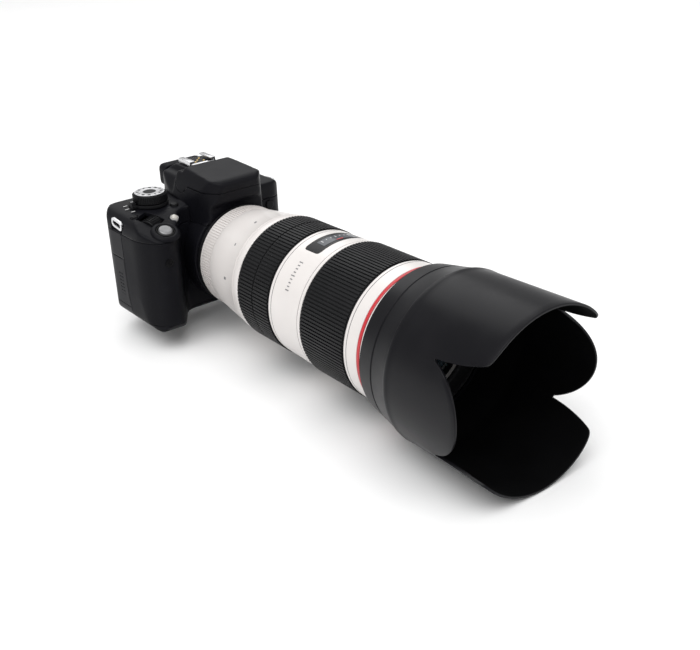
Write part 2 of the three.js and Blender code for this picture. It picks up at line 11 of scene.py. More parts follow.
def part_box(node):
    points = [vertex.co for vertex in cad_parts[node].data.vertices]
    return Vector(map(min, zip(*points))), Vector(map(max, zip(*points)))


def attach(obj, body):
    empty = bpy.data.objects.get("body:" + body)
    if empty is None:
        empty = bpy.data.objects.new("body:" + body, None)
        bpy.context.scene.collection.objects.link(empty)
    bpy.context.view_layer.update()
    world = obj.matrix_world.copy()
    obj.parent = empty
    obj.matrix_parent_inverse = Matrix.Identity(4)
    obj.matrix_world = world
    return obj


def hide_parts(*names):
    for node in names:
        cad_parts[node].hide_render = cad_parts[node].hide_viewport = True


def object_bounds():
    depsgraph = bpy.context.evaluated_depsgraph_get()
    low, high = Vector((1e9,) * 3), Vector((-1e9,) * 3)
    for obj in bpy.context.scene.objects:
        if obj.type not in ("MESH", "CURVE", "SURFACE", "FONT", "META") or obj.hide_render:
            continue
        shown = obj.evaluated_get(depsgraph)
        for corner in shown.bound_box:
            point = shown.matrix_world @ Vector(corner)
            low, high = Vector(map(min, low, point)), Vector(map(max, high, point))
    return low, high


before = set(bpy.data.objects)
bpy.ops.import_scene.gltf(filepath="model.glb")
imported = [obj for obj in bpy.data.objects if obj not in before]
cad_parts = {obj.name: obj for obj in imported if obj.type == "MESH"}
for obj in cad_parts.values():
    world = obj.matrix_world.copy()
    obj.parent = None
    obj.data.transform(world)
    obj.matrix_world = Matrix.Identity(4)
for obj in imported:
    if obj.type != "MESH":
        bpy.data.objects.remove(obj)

bl_info = {
    "name": "Reflex camera parts",
    "version": (1, 0, 0),
    "blender": (4, 5, 0),
    "location": "View3D > Sidebar > Camera",
    "description": "Models the casing, controls, lens and hood of a reflex camera around its frame",
    "category": "Object",
}

CAD_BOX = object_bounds()
MM = 0.001


def span(node):
    """Lowest and highest corner of a frame node, in millimetres."""
    low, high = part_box(node)
    return low / MM, high / MM


def middle(node):
    low, high = span(node)
    return (low + high) / 2


AXIS_HEIGHT = middle("zoom_ring").z
PLATFORM_TILT = math.radians(21)
DECK = span("power_lever")[0].z - 0.3


# ---------------------------------------------------------------- places
# Local Z runs forwards along the lens axis, counted from the focal plane.
LENS = Matrix.Translation(Vector((0, 0, AXIS_HEIGHT)) * MM) @ Matrix.Rotation(math.pi / 2, 4, "X")


def place_at(at, turn=0.0, axis="X"):
    return Matrix.Translation(Vector(at) * MM) @ Matrix.Rotation(turn, 4, axis)


def facing(at, way):
    turns = {"top": 0.0, "platform": PLATFORM_TILT, "front": math.pi / 2, "rear": -math.pi / 2}
    return place_at(at, turns[way])


# ---------------------------------------------------------------- modelling helpers
def clear_selection():
    if bpy.context.mode != "OBJECT":
        bpy.ops.object.mode_set(mode="OBJECT")
    bpy.ops.object.select_all(action="DESELECT")


def make_active(piece):
    clear_selection()
    bpy.context.view_layer.objects.active = piece
    piece.select_set(True)


def edit(piece):
    make_active(piece)
    bpy.ops.object.mode_set(mode="EDIT")
    bpy.ops.mesh.select_mode(type="VERT")


def select_faces(piece, test):
    """Selects the faces that pass the test, in edit mode."""
    bpy.ops.mesh.select_mode(type="FACE")
    bpy.ops.mesh.select_all(action="DESELECT")
    form = bmesh.from_edit_mesh(piece.data)
    for face in form.faces:
        face.select_set(test(face))
    bmesh.update_edit_mesh(piece.data)


def settle(piece, matrix):
    """Moves a piece modelled at the origin to its place and leaves the place in its mesh."""
    make_active(piece)
    piece.matrix_world = matrix
    bpy.ops.object.transform_apply(location=True, rotation=True, scale=True)


def apply_modifier(piece, kind, **settings):
    make_active(piece)
    modifier = piece.modifiers.new(kind.title(), kind)
    for key, value in settings.items():
        setattr(modifier, key, value)
    bpy.ops.object.modifier_apply(modifier=modifier.name)


def cut_away(piece, tool):
    apply_modifier(piece, "BOOLEAN", object=tool, operation="DIFFERENCE", solver="EXACT")
    bpy.data.objects.remove(tool)


def keep_inside(piece, tool, solver="EXACT"):
    apply_modifier(piece, "BOOLEAN", object=tool, operation="INTERSECT", solver=solver)
    bpy.data.objects.remove(tool)


def finish_piece(piece, name, material, body, replaces=(), smooth=35):
    make_active(piece)
    piece.name = name
    piece.data.materials.clear()
    piece.data.materials.append(MATERIALS[material])
    bpy.ops.object.shade_smooth_by_angle(angle=math.radians(smooth))
    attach(piece, body)
    if replaces:
        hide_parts(*replaces)
    return piece


def lathe(stations, sides, matrix, ring=True):
    """A turned form from [radius, height] stations in millimetres around local Z.

    A ring closes on its first station. Otherwise both ends are closed with a flat cap.
    """
    clear_selection()
    path = list(stations) + ([stations[0]] if ring else [])
    radius, height = path[0]
    bpy.ops.mesh.primitive_circle_add(
        vertices=sides, radius=radius * MM, fill_type="NOTHING", location=(0, 0, height * MM)
    )
    piece = bpy.context.object
    bpy.ops.object.transform_apply(location=True)
    edit(piece)
    bpy.ops.mesh.select_all(action="SELECT")
    for next_radius, next_height in path[1:]:
        step = (next_height - height) * MM
        bpy.ops.mesh.extrude_region_move(TRANSFORM_OT_translate={"value": (0, 0, step)})
        grow = next_radius / radius
        bpy.ops.transform.resize(value=(grow, grow, 1), center_override=(0, 0, next_height * MM))
        radius, height = next_radius, next_height
    if ring:
        bpy.ops.mesh.select_all(action="SELECT")
        bpy.ops.mesh.remove_doubles(threshold=5e-6)
    else:
        bpy.ops.mesh.edge_face_add()
        bpy.ops.mesh.select_all(action="DESELECT")
        form = bmesh.from_edit_mesh(piece.data)
        form.verts.ensure_lookup_table()
        for vertex in form.verts[:sides]:
            vertex.select_set(True)
        form.select_flush(True)
        bmesh.update_edit_mesh(piece.data)
        bpy.ops.mesh.edge_face_add()
    bpy.ops.mesh.select_all(action="SELECT")
    bpy.ops.mesh.normals_make_consistent(inside=False)
    settle(piece, matrix)
    return piece


def raise_ribs(piece, matrix, sides, pitch, width, low, high, least_radius, lift):
    """Lifts every pitch-th group of width faces between two heights into ribs."""
    def on_rib(face):
        centre = face.calc_center_median() / MM
        radius = math.hypot(centre.x, centre.y)
        if not (low < centre.z < high and radius > least_radius):
            return False
        column = math.floor((math.atan2(centre.y, centre.x) % math.tau) / math.tau * sides)
        return column % pitch < width

    settle(piece, matrix.inverted())
    edit(piece)
    select_faces(piece, on_rib)
    bpy.ops.mesh.extrude_region_move()
    grow = (least_radius + lift) / least_radius
    bpy.ops.transform.resize(value=(grow, grow, 1), center_override=(0, 0, 0))
    bpy.ops.object.mode_set(mode="OBJECT")
    settle(piece, matrix)


def block(low, high, edge=0.0, matrix=None):
    """A box between two corners in millimetres with rounded edges."""
    clear_selection()
    low, high = Vector(low), Vector(high)
    bpy.ops.mesh.primitive_cube_add(size=MM, location=(low + high) / 2 * MM)
    piece = bpy.context.object
    piece.scale = high - low
    bpy.ops.object.transform_apply(location=True, rotation=True, scale=True)
    if edge:
        apply_modifier(piece, "BEVEL", width=edge * MM, segments=2, limit_method="NONE")
    if matrix is not None:
        settle(piece, matrix)
    return piece


def prism(outline, low, high, matrix=None):
    """A flat outline of (x, y) points in millimetres, drawn out from height low to high."""
    clear_selection()
    bpy.ops.mesh.primitive_circle_add(vertices=len(outline), radius=MM, fill_type="NGON")
    piece = bpy.context.object
    for vertex, (x, y) in zip(piece.data.vertices, outline):
        vertex.co = (x * MM, y * MM, low * MM)
    edit(piece)
    bpy.ops.mesh.select_all(action="SELECT")
    bpy.ops.mesh.extrude_region_move(TRANSFORM_OT_translate={"value": (0, 0, (high - low) * MM)})
    bpy.ops.mesh.select_all(action="SELECT")
    bpy.ops.mesh.normals_make_consistent(inside=False)
    bpy.ops.object.mode_set(mode="OBJECT")
    if matrix is not None:
        settle(piece, matrix)
    return piece


def join_pieces(pieces):
    make_active(pieces[0])
    for piece in pieces:
        piece.select_set(True)
    bpy.ops.object.join()
    return bpy.context.object


def node_copy(node):
    """A copy of a frame node with its own mesh and its points joined up."""
    clear_selection()
    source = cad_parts[node]
    piece = source.copy()
    piece.data = source.data.copy()
    for key in list(piece.keys()):
        del piece[key]
    piece.parent = None
    bpy.context.scene.collection.objects.link(piece)
    edit(piece)
    bpy.ops.mesh.select_all(action="SELECT")
    bpy.ops.mesh.remove_doubles(threshold=2e-6)
    bpy.ops.object.mode_set(mode="OBJECT")
    return piece


def casing_copy(node, edge):
    """A copy of a frame node with flat faces joined up and its edges rounded."""
    piece = node_copy(node)
    edit(piece)
    bpy.ops.mesh.select_all(action="SELECT")
    bpy.ops.mesh.dissolve_limited(angle_limit=math.radians(1))
    apply_modifier(piece, "BEVEL", width=edge * MM, segments=3, limit_method="ANGLE",
                   angle_limit=math.radians(35), use_clamp_overlap=True)
    return piece


def finish_rounded(node, edge, material, body, smooth=40):
    """A frame node's own form with rounded edges, as a finished piece."""
    return finish_piece(casing_copy(node, edge), node + "_form", material, body, [node], smooth)


# ---------------------------------------------------------------- outer form of the body
BODY_PLAN = [
    (50, 22, 7), (57, 12, 6), (57, -10, 8), (49, -22, 8), (-36, -24, 6), (-45, -38, 6),
    (-54, -51, 7), (-66, -51, 10), (-75, -35, 12), (-75, 10, 9), (-63, 22, 9),
]
BODY_FRONT = [
    (-69, 0, 4), (-74, 6, 5), (-76, 42, 20), (-75.3, 67, 8), (-72, 76, 6), (-62, 78.6, 8),
    (50, 78.6, 6), (57, 69, 8), (58, 40, 20), (56, 4, 3), (51, 0, 2),
]
BODY_SIDE = [
    (22, 0, 2), (-45, 0, 4), (-51, 5, 5), (-51, 65.5, 3), (-48.5, 68, 3), (-20, 78.6, 8),
    (18, 78.6, 3), (22, 74, 4),
]
HUMP_PLAN = [
    (15, -51, 3), (24, -40, 8), (27.5, -20, 12), (26, 6, 10), (20, 23, 5),
    (-20, 23, 5), (-26, 6, 10), (-27.5, -20, 12), (-24, -40, 8), (-15, -51, 3),
]
HUMP_FRONT = [
    (-31, 66, 0), (-27, 80, 5), (-23, 93, 6), (-18, 100.5, 4),
    (18, 100.5, 4), (23, 93, 6), (27, 80, 5), (31, 66, 0),
]
HUMP_REAR = [
    (-31, 66, 0), (-27, 80, 4), (-21.5, 91.3, 3), (-14.6, 93, 2), (-12.8, 101, 0),
    (12.8, 101, 0), (14.6, 93, 2), (21.5, 91.3, 3), (27, 80, 4), (31, 66, 0),
]
HUMP_SIDE = [
    (22, 66, 0), (23, 84, 3), (20, 94, 3), (14, 96.5, 2), (-8, 96.5, 0),
    (-8, 100, 0), (-46, 97.5, 4), (-51, 95, 2), (-47, 81, 2), (-43.5, 78, 2), (-43.5, 66, 0),
]
HUMP_STEP = -1.6
ACROSS = Matrix.Rotation(math.pi / 2, 4, "X")
ALONG = Matrix(((0, 0, 1, 0), (1, 0, 0, 0), (0, 1, 0, 0), (0, 0, 0, 1)))


def rounded(corners, steps=6):
    """Points of an outline whose corners (a, b, radius) are rounded."""
    points = []
    for index, (a, b, radius) in enumerate(corners):
        corner = Vector((a, b))
        before = Vector(corners[index - 1][:2]) - corner
        after = Vector(corners[(index + 1) % len(corners)][:2]) - corner
        reach = min(radius, 0.45 * before.length, 0.45 * after.length)
        if reach < 0.1:
            points.append((a, b))
            continue
        start = corner + before.normalized() * reach
        end = corner + after.normalized() * reach
        for step in range(steps + 1):
            share = step / steps
            point = start.lerp(corner, share).lerp(corner.lerp(end, share), share)
            points.append((point.x, point.y))
    return points


def form(plan, front, side, near, far):
    """The common part of three outlines, each pushed through the other two."""
    piece = prism(rounded(plan), -5, 115)
    fronts = prism(rounded(front), -far, -near, matrix=ACROSS)
    sides = prism(rounded(side), -100, 100, matrix=ALONG)
    for tool in (fronts, sides):
        keep_inside(piece, tool, "MANIFOLD")
    return piece


VOXEL = 0.9
SOFTENING_ROUNDS = 12
SKIN_INSET = 0.12


def smooth_blank():
    """The whole outer form of the body with every edge softened."""
    collar = lathe([(20, 10), (36.2, 10), (36.2, 41.4), (20, 41.4)], 96, LENS)
    parts = [
        form(BODY_PLAN, BODY_FRONT, BODY_SIDE, -70, 50),
        form(HUMP_PLAN, HUMP_FRONT, HUMP_SIDE, -70, HUMP_STEP),
        form(HUMP_PLAN, HUMP_REAR, HUMP_SIDE, HUMP_STEP - 0.5, 50),
        collar,
    ]
    blank = join_pieces(parts)
    apply_modifier(blank, "REMESH", mode="VOXEL", voxel_size=VOXEL * MM)
    apply_modifier(blank, "SMOOTH", factor=0.5, iterations=SOFTENING_ROUNDS)
    apply_modifier(blank, "DISPLACE", strength=-SKIN_INSET * MM, mid_level=0.0)
    return blank


# ---------------------------------------------------------------- materials
def new_group(name, inputs, outputs):
    group = bpy.data.node_groups.new(name, "ShaderNodeTree")
    for label, kind, default in inputs:
        socket = group.interface.new_socket(label, in_out="INPUT", socket_type=kind)
        if default is not None:
            socket.default_value = default
    for label, kind in outputs:
        group.interface.new_socket(label, in_out="OUTPUT", socket_type=kind)
    start = group.nodes.new("NodeGroupInput")
    end = group.nodes.new("NodeGroupOutput")
    return group, start, end


def add_node(tree, kind, settings=()):
    node = tree.nodes.new("ShaderNode" + kind)
    for label, value in dict(settings).items():
        node.inputs[label].default_value = value
    return node


def grain_group():
    """Fine moulded grain: a height for bump and a soft mask for wear and handling marks."""
    group, start, end = new_group(
        "moulded_grain",
        [("Vector", "NodeSocketVector", None), ("Scale", "NodeSocketFloat", 900.0),
         ("Patch", "NodeSocketFloat", 40.0)],
        [("Height", "NodeSocketFloat"), ("Mask", "NodeSocketFloat")],
    )
    links = group.links
    cells = add_node(group, "TexVoronoi")
    cells.feature = "SMOOTH_F1"
    noise = add_node(group, "TexNoise", {"Detail": 4})
    patch = add_node(group, "TexNoise", {"Detail": 3})
    blend = add_node(group, "Math")
    blend.operation = "ADD"
    ramp = add_node(group, "MapRange", {"From Min": 0.35, "From Max": 0.7})
    for node in (cells, noise):
        links.new(start.outputs["Vector"], node.inputs["Vector"])
        links.new(start.outputs["Scale"], node.inputs["Scale"])
    links.new(start.outputs["Vector"], patch.inputs["Vector"])
    links.new(start.outputs["Patch"], patch.inputs["Scale"])
    links.new(cells.outputs["Distance"], blend.inputs[0])
    links.new(noise.outputs["Fac"], blend.inputs[1])
    links.new(blend.outputs[0], end.inputs["Height"])
    links.new(patch.outputs["Fac"], ramp.inputs["Value"])
    links.new(ramp.outputs["Result"], end.inputs["Mask"])
    return group


def streak_group():
    """Fine parallel streaks for brushed or turned metal."""
    group, start, end = new_group(
        "brushed_streaks",
        [("Vector", "NodeSocketVector", None), ("Scale", "NodeSocketFloat", 300.0)],
        [("Height", "NodeSocketFloat"), ("Mask", "NodeSocketFloat")],
    )
    links = group.links
    stretch = add_node(group, "Mapping", {"Scale": (1.0, 14.0, 14.0)})
    noise = add_node(group, "TexNoise", {"Detail": 5})
    ramp = add_node(group, "MapRange", {"From Min": 0.3, "From Max": 0.7})
    links.new(start.outputs["Vector"], stretch.inputs["Vector"])
    links.new(stretch.outputs["Vector"], noise.inputs["Vector"])
    links.new(start.outputs["Scale"], noise.inputs["Scale"])
    links.new(noise.outputs["Fac"], end.inputs["Height"])
    links.new(noise.outputs["Fac"], ramp.inputs["Value"])
    links.new(ramp.outputs["Result"], end.inputs["Mask"])
    return group


GROUPS = {}
MATERIALS = {}


def mix_colours(tree, mask, first, second):
    mix = add_node(tree, "Mix")
    mix.data_type = "RGBA"
    mix.inputs["A"].default_value = (*first, 1)
    mix.inputs["B"].default_value = (*second, 1)
    tree.links.new(mask, mix.inputs["Factor"])
    return mix.outputs["Result"]


def surface(name, colour, second, rough, pattern="moulded_grain", scale=900.0, bump=0.1,
            depth=0.00002, **shader_values):
    """A surface whose colour, roughness and relief come from one of the shared patterns."""
    material = bpy.data.materials.new(name)
    material.use_nodes = True
    tree = material.node_tree
    shader = tree.nodes["Principled BSDF"]
    place = add_node(tree, "TexCoord")
    group = add_node(tree, "Group")
    group.node_tree = GROUPS[pattern]
    group.inputs["Scale"].default_value = scale
    tree.links.new(place.outputs["Object"], group.inputs["Vector"])
    tree.links.new(mix_colours(tree, group.outputs["Mask"], colour, second), shader.inputs["Base Color"])
    spread = add_node(tree, "MapRange", {"To Min": rough[0], "To Max": rough[1]})
    tree.links.new(group.outputs["Mask"], spread.inputs["Value"])
    tree.links.new(spread.outputs["Result"], shader.inputs["Roughness"])
    relief = add_node(tree, "Bump", {"Strength": bump, "Distance": depth})
    tree.links.new(group.outputs["Height"], relief.inputs["Height"])
    tree.links.new(relief.outputs["Normal"], shader.inputs["Normal"])
    for key, value in shader_values.items():
        shader.inputs[key.replace("_", " ").title().replace("Ior", "IOR")].default_value = value
    MATERIALS[name] = material
    return material


def coated_glass(name, facing_tint, edge_tint):
    """Dark coated glass: its tint shifts towards the rim of the curve."""
    material = surface(name, facing_tint, facing_tint, (0.02, 0.05), scale=60.0, bump=0.01)
    tree = material.node_tree
    shader = tree.nodes["Principled BSDF"]
    weight = add_node(tree, "LayerWeight", {"Blend": 0.35})
    tint = mix_colours(tree, weight.outputs["Facing"], facing_tint, edge_tint)
    tree.links.new(tint, shader.inputs["Base Color"])
    shader.inputs["Coat Weight"].default_value = 1.0
    shader.inputs["Coat Roughness"].default_value = 0.02
    return material


def make_materials(colours):
    GROUPS["moulded_grain"] = grain_group()
    GROUPS["brushed_streaks"] = streak_group()
    body = tuple(colours.body)
    white = tuple(colours.barrel)
    lighter = tuple(c * 1.4 for c in body)
    dull = {"specular_ior_level": 0.09}
    surface("casing", body, lighter, (0.4, 0.47), scale=1600, bump=0.3, depth=0.00004, **dull)
    surface("casing_smooth", body, lighter, (0.28, 0.36), scale=1200, bump=0.06, **dull)
    surface("gloss_black", (0.003, 0.003, 0.0035), (0.004, 0.004, 0.0045), (0.2, 0.26), scale=1200,
            bump=0.04, **dull)
    surface("grip_skin", body, lighter, (0.52, 0.62), scale=700, bump=0.5, depth=0.00008, **dull)
    surface("rib_rubber", (0.0058, 0.006, 0.0068), (0.009, 0.009, 0.01), (0.45, 0.55), scale=1500,
            bump=0.2, specular_ior_level=0.2)
    surface("hood_outside", (0.0038, 0.0037, 0.0052), (0.0055, 0.0054, 0.007), (0.32, 0.4), scale=1500,
            bump=0.25, depth=0.00003, specular_ior_level=0.16)
    surface("hood_inside", (0.0012, 0.0012, 0.0014), (0.002, 0.002, 0.0023), (0.7, 0.85), scale=2200,
            bump=0.5, depth=0.00006, specular_ior_level=0.05)
    surface("dial_black", (0.006, 0.006, 0.007), (0.01, 0.01, 0.011), (0.3, 0.4), scale=900, bump=0.1,
            **dull)
    surface("barrel_paint", white, tuple(c * 0.97 for c in white), (0.3, 0.36), scale=1300, bump=0.05,
            coat_weight=0.25, coat_roughness=0.2)
    surface("red_line", tuple(colours.ring), tuple(c * 0.8 for c in colours.ring), (0.3, 0.38), bump=0.04)
    surface("steel", (0.62, 0.62, 0.63), (0.72, 0.72, 0.73), (0.2, 0.34), "brushed_streaks", 260, 0.1,
            metallic=1.0)
    surface("silver_paint", (0.5, 0.5, 0.51), (0.58, 0.58, 0.59), (0.3, 0.4), "brushed_streaks", 200,
            0.06, metallic=0.6)
    surface("button_grey", (0.2, 0.2, 0.205), (0.25, 0.25, 0.255), (0.28, 0.36), scale=800, bump=0.06,
            metallic=0.5)
    surface("blackened_metal", (0.012, 0.012, 0.013), (0.02, 0.02, 0.022), (0.35, 0.5), "brushed_streaks",
            180, 0.08, metallic=0.4)
    surface("gold_contact", (0.7, 0.5, 0.18), (0.78, 0.58, 0.24), (0.2, 0.3), "brushed_streaks", 400,
            0.05, metallic=1.0)
    surface("print_white", (0.62, 0.62, 0.62), (0.7, 0.7, 0.7), (0.45, 0.5), bump=0.02)
    surface("print_grey", (0.16, 0.16, 0.165), (0.2, 0.2, 0.205), (0.45, 0.5), bump=0.02)
    surface("screen_glass", (0.004, 0.004, 0.005), (0.006, 0.006, 0.007), (0.05, 0.1), scale=50,
            bump=0.01, specular_ior_level=0.3)
    surface("window_frame", (0.004, 0.004, 0.005), (0.006, 0.006, 0.007), (0.2, 0.3), scale=400,
            bump=0.03, specular_ior_level=0.15)
    surface("window_scale", (0.05, 0.055, 0.065), (0.075, 0.08, 0.09), (0.12, 0.2), scale=300, bump=0.02,
            specular_ior_level=0.25)
    surface("lamp_dome", (0.42, 0.4, 0.37), (0.62, 0.6, 0.56), (0.05, 0.12), scale=500, bump=0.1,
            coat_weight=1.0, coat_roughness=0.03)
    surface("flash_diffuser", (0.5, 0.51, 0.5), (0.66, 0.67, 0.65), (0.12, 0.2), "brushed_streaks",
            120, 0.3, coat_weight=0.6, coat_roughness=0.06)
    surface("mirror_silver", (0.8, 0.82, 0.84), (0.86, 0.88, 0.9), (0.02, 0.05), "brushed_streaks", 30,
            0.01, metallic=1.0)
    surface("circuit", (0.01, 0.06, 0.035), (0.02, 0.1, 0.05), (0.3, 0.5), scale=300, bump=0.2)
    surface("battery_shell", (0.02, 0.02, 0.022), (0.03, 0.03, 0.032), (0.4, 0.5), scale=900, bump=0.1)
    coated_glass("front_glass", (0.012, 0.008, 0.03), (0.02, 0.05, 0.035))
    coated_glass("clear_glass", (0.02, 0.02, 0.026), (0.06, 0.05, 0.09))


# ---------------------------------------------------------------- settings
class CameraColours(bpy.types.PropertyGroup):
    body: FloatVectorProperty(
        name="Body", description="Moulded casing", subtype="COLOR", default=(0.0042, 0.0042, 0.0058)
    )
    barrel: FloatVectorProperty(
        name="Barrel", description="Warm white lens paint", subtype="COLOR", default=(0.72, 0.685, 0.665)
    )
    ring: FloatVectorProperty(
        name="Line", description="Coloured line round the front", subtype="COLOR",
        default=(0.55, 0.025, 0.035)
    )


class CameraSizes(bpy.types.PropertyGroup):
    zoom_ribs: IntProperty(name="Zoom ribs", description="Ribs round the zoom ring", default=112)
    focus_ribs: IntProperty(name="Focus ribs", description="Ribs round the focus ring", default=124)
    rib_height: FloatProperty(name="Rib height", description="Height of a grip rib in mm", default=0.8)
    hood_wall: FloatProperty(name="Hood wall", description="Wall of the hood in mm", default=1.8)
    dial_teeth: IntProperty(name="Dial teeth", description="Knurls round the mode dial", default=60)


# ---------------------------------------------------------------- stage
VIEW = {
    "place": (-0.36435, -0.63967, 0.31372),
    "azimuth": math.radians(-37.6),
    "height": math.radians(25.65),
    "roll": math.radians(-2.36),
    "focal_mm": 54.04,
    "sensor_mm": 36.0,
}


class SCENE_OT_studio(bpy.types.Operator):
    """Adds the pale floor, the soft lights and the camera"""

    bl_idname = "scene.reflex_studio"
    bl_label = "Studio"

    def execute(self, context):
        self.add_camera()
        self.add_floor()
        self.add_lights()
        return {"FINISHED"}

    def add_camera(self):
        azimuth, height, roll = VIEW["azimuth"], VIEW["height"], VIEW["roll"]
        back = Vector((
            math.sin(azimuth) * math.cos(height), -math.cos(azimuth) * math.cos(height), math.sin(height),
        ))
        right = (-back).cross(Vector((0, 0, 1))).normalized()
        up = back.cross(right)
        side = right * math.cos(roll) + up * math.sin(roll)
        top = -right * math.sin(roll) + up * math.cos(roll)
        data = bpy.data.cameras.new("view")
        data.lens = VIEW["focal_mm"]
        data.sensor_width = VIEW["sensor_mm"]
        data.clip_start = 0.01
        camera = bpy.data.objects.new("view", data)
        bpy.context.scene.collection.objects.link(camera)
        turn = Matrix((side, top, back)).transposed().to_4x4()
        camera.matrix_world = Matrix.Translation(VIEW["place"]) @ turn
        bpy.context.scene.camera = camera

    def add_floor(self):
        clear_selection()
        low = CAD_BOX[0][2]
        bpy.ops.mesh.primitive_plane_add(size=14, location=(0, 0, low - 0.0006))
        floor = bpy.context.object
        floor.name = "floor"
        floor.data.materials.append(surface("floor_paper", (0.9, 0.9, 0.9), (0.91, 0.91, 0.91),
                                            (0.85, 0.95), scale=40, bump=0.02))
        world = bpy.data.worlds.new("studio")
        world.use_nodes = True
        world.node_tree.nodes["Background"].inputs["Color"].default_value = (1, 1, 1, 1)
        world.node_tree.nodes["Background"].inputs["Strength"].default_value = 0.5
        bpy.context.scene.world = world
        bpy.context.scene.view_settings.view_transform = "Standard"

    def add_lights(self):
        panels = [
            ("key", (-0.9, -0.5, 1.3), 1.1, 8),
            ("fill", (0.8, -1.2, 0.9), 1.4, 4),
            ("back", (0.5, 0.9, 1.1), 1.0, 5),
        ]
        target = Vector((0, -0.14, 0.04))
        for name, at, size, power in panels:
            lamp = self.add_lamp(name, "AREA", power)
            lamp.data.size = size
            lamp.location = at
            lamp.rotation_euler = (target - Vector(at)).to_track_quat("-Z", "Y").to_euler()
        lamp = self.add_lamp("overhead", "SUN", 1.6)
        lamp.data.angle = math.radians(70)
        lamp.rotation_euler = (math.radians(12), math.radians(-14), 0)

    def add_lamp(self, name, kind, power):
        data = bpy.data.lights.new(name, kind)
        data.energy = power
        lamp = bpy.data.objects.new(name, data)
        bpy.context.scene.collection.objects.link(lamp)
        return lamp


# ---------------------------------------------------------------- casing
class OBJECT_OT_casing(bpy.types.Operator):
    """Builds the covers, doors and skins of the body"""

    bl_idname = "object.reflex_casing"
    bl_label = "Casing"

    def execute(self, context):
        blank = smooth_blank()
        skins = [
            ("front_cover", "casing", "camera_body", "casing_plastic"),
            ("rear_cover", "casing", "camera_body", "casing_plastic"),
            ("top_cover", "casing", "camera_body", "casing_plastic"),
            ("bottom_plate", "casing", "camera_body", "casing_plastic"),
            ("grip_rubber", "grip_skin", "camera_body", "grip_rubber"),
            ("card_door", "casing", "card_door", "casing_plastic"),
            ("terminal_cover", "grip_skin", "terminal_cover", "grip_rubber"),
            ("battery_door", "casing", "battery_door", "casing_plastic"),
            ("flash_head", "casing", "flash_head", "casing_plastic"),
        ]
        for node, material, body, slot in skins:
            piece = node_copy(node)
            apply_modifier(piece, "BOOLEAN", object=blank, operation="INTERSECT", solver="MANIFOLD")
            finish_piece(piece, node + "_shell", material, body, [node], 38)
            apply_modifier(piece, "WEIGHTED_NORMAL", keep_sharp=True)
        bpy.data.objects.remove(blank)
        panels = [
            ("screen_panel", "casing", "screen", "casing_plastic", 0.6),
            ("screen_hinge", "dial_black", "screen", "dial_metal", 0.4),
            ("eyecup", "grip_skin", "camera_body", "grip_rubber", 1.1),
        ]
        for node, material, body, slot, edge in panels:
            finish_rounded(node, edge, material, body)
        return {"FINISHED"}


class OBJECT_OT_body_details(bpy.types.Operator):
    """Adds the pad round the shutter button, windows, dimples in the card door and printed marks"""

    bl_idname = "object.reflex_body_details"
    bl_label = "Body details"

    def execute(self, context):
        self.add_shutter_pad()
        self.add_windows()
        self.cut_side_dimples()
        self.add_marks()
        self.add_screen_glass()
        self.add_flash_window()
        return {"FINISHED"}

    def add_shutter_pad(self):
        place = facing(shutter_place(), "platform")
        pad = lathe([(6.4, 1.3), (6.7, 1.75), (7.4, 1.95), (8.6, 1.7), (9.6, 0.9), (10.1, -0.2),
                     (6.4, -0.4)], 96, place)
        finish_piece(pad, "shutter_pad", "casing", "camera_body")
        ring = lathe([(5.15, -1), (6.35, -1), (6.35, 1.5), (6.0, 1.9), (5.5, 1.9), (5.15, 1.5)], 72,
                     place)
        finish_piece(ring, "shutter_ring", "gloss_black", "camera_body")

    def add_windows(self):
        front = span("grip_rubber")[0].y
        pane = lathe([(0.2, -1.4), (2.9, -1.4), (2.9, 0.1), (2.6, 0.3), (0.2, 0.35)], 40,
                     facing((-60.5, front - 0.3, 52), "front"), ring=False)
        finish_piece(pane, "infrared_window", "gloss_black", "camera_body")

    def cut_side_dimples(self):
        low = span("card_door")[0]
        dimples = []
        for row in range(9):
            for column in range(2):
                at = (low.x + 0.5, low.y + 5.2 + 3.2 * column, low.z + 3 + 2.6 * row)
                dimples.append(block((at[0] - 1.5, at[1] - 1.1, at[2] - 0.4),
                                  (at[0], at[1] + 1.1, at[2] + 0.4)))
        cut_away(bpy.data.objects["card_door_shell"], join_pieces(dimples))

    def add_marks(self):
        marks = []
        dial = middle("mode_dial")
        for turn in map(math.radians, (150, 174, 198)):
            x, y = dial.x + 17.5 * math.cos(turn), dial.y + 17.5 * math.sin(turn)
            marks.append(block((x - 1.5, y - 0.35, DECK - 0.1), (x + 1.5, y + 0.35, DECK + 0.06)))
        finish_piece(join_pieces(marks), "deck_marks", "print_white", "camera_body")

    def add_screen_glass(self):
        low, high = span("screen_panel")
        glass = block((low.x + 3.5, high.y - 0.25, low.z + 5),
                      (high.x - 3.5, high.y + 0.15, high.z - 5), 0.1)
        finish_piece(glass, "screen_glass", "screen_glass", "screen")

    def add_flash_window(self):
        low = span("flash_head")[0]
        pane = block((-16, low.y + 4, low.z - 0.14), (16, low.y + 14, low.z + 0.5), 0.12)
        finish_piece(pane, "flash_window", "flash_diffuser", "flash_head")


def shutter_place():
    """The middle of the shutter button's seat, on the tilted platform."""
    way = Vector((0, -math.sin(PLATFORM_TILT), math.cos(PLATFORM_TILT)))
    return middle("shutter_button") + 1.25 * way


